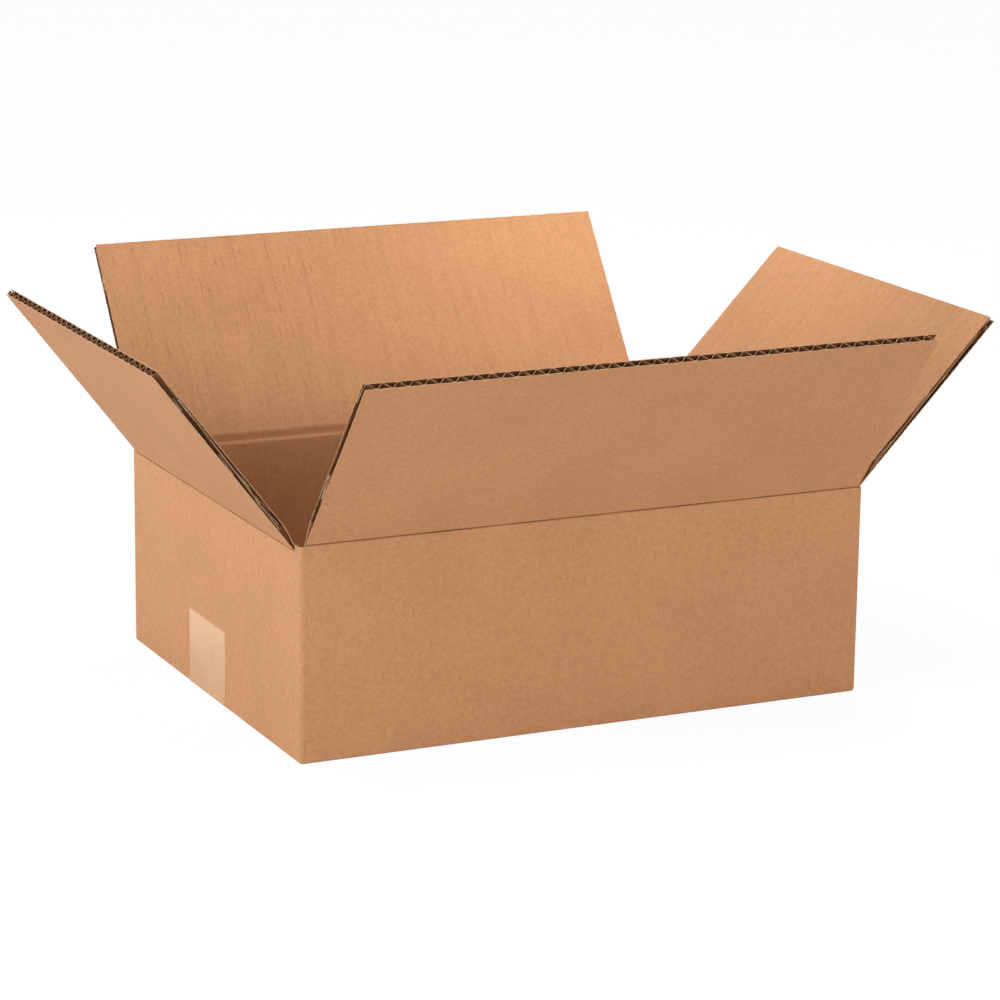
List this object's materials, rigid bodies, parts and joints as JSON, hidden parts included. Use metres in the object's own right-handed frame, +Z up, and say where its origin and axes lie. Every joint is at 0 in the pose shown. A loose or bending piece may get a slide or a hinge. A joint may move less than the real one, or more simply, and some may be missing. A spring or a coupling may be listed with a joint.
{
  "type": "open cardboard box",
  "caption": "Low corrugated shipping box with a taped bottom, standing open with its long and end top flaps folded outwards on hinged creases.",
  "frame": {"origin": "centre of the underside, on the surface that the box stands on", "axes": "+X along the box's length, towards its right end wall; +Y towards the rear wall; +Z up, out of the open top"},
  "size_m": [0.464, 0.3755, 0.2068],
  "materials": {
    "board": "matte kraft liner, fluted medium at the cut edges",
    "tape": "light tan packing tape, slightly glossy"
  },
  "bodies": {
    "box": {"box_body": "board", "bottom_tape": "tape"},
    "front": {"flap_front": "board"},
    "back": {"flap_back": "board"},
    "left": {"flap_left": "board"},
    "right": {"flap_right": "board"}
  },
  "joints": [
    {"name": "front_flap_fold", "type": "hinge", "parent": "box", "child": "front", "pos_m": [0, -0.1185, 0.1104], "axis": [1, 0, 0], "range_deg": [-128.2, 111.8]},
    {"name": "back_flap_fold", "type": "hinge", "parent": "box", "child": "back", "pos_m": [0, 0.1185, 0.1104], "axis": [-1, 0, 0], "range_deg": [-125.5, 114.5]},
    {"name": "left_flap_fold", "type": "hinge", "parent": "box", "child": "left", "pos_m": [-0.1565, 0, 0.10625], "axis": [0, -1, 0], "range_deg": [-128, 112]},
    {"name": "right_flap_fold", "type": "hinge", "parent": "box", "child": "right", "pos_m": [0.1565, 0, 0.10625], "axis": [0, 1, 0], "range_deg": [-133.8, 106.2]}
  ]
}
